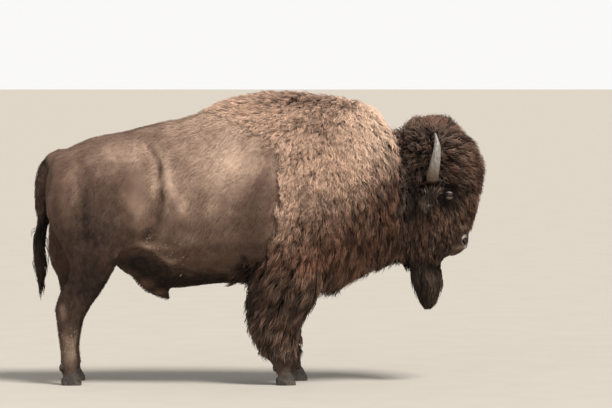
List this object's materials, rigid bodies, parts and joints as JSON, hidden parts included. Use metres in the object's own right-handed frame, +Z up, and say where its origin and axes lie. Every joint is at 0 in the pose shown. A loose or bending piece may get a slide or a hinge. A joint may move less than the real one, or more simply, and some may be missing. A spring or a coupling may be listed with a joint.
{
  "type": "bison",
  "caption": "Life-size plains bison bull standing four-square with its head lowered, humped and maned, as a still museum model.",
  "frame": {"origin": "on the ground under the middle of the outline", "axes": "+X from the tail towards the head, +Y to the animal's left, +Z up"},
  "size_m": [2.7576, 0.7818, 1.7995],
  "materials": {
    "short_coat": "short flat hair, grey-brown, dusty",
    "cape": "woolly hair, light tan bleached by the sun",
    "mane": "long shaggy hair, reddish dark brown",
    "face_hair": "dense woolly hair, dark brown",
    "long_hair": "long hair, nearly black",
    "nose_skin": "moist bare skin, nearly black",
    "horn": "grey horn, satin, darker at the root",
    "hoof": "dark horn, dusty",
    "eye": "wet, glossy dark brown"
  },
  "bodies": {
    "root": {"head": "face_hair", "bonnet": "face_hair", "jaw": "face_hair", "nose": "nose_skin", "beard": "long_hair", "neck": "mane", "hump_and_shoulders": "cape", "barrel": "short_coat", "hindquarters": "short_coat", "sheath": "short_coat", "scrotum": "short_coat", "foreleg_upper_right": "long_hair", "foreleg_upper_left": "long_hair", "foreleg_lower_right": "long_hair", "foreleg_lower_left": "long_hair", "hindleg_upper_right": "short_coat", "hindleg_upper_left": "short_coat", "hindleg_lower_right": "short_coat", "hindleg_lower_left": "short_coat", "tail": "short_coat", "tail_switch": "long_hair", "horn_right": "horn", "horn_left": "horn", "ear_right": "face_hair", "ear_left": "face_hair", "eye_right": "eye", "eye_left": "eye", "hoof_fore_right_outer": "hoof", "hoof_fore_right_inner": "hoof", "hoof_hind_right_outer": "hoof", "hoof_hind_right_inner": "hoof", "hoof_fore_left_outer": "hoof", "hoof_fore_left_inner": "hoof", "hoof_hind_left_outer": "hoof", "hoof_hind_left_inner": "hoof", "dewclaw_fore_right_outer": "hoof", "dewclaw_fore_right_inner": "hoof", "dewclaw_hind_right_outer": "hoof", "dewclaw_hind_right_inner": "hoof", "dewclaw_fore_left_outer": "hoof", "dewclaw_fore_left_inner": "hoof", "dewclaw_hind_left_outer": "hoof", "dewclaw_hind_left_inner": "hoof"}
  },
  "joints": []
}
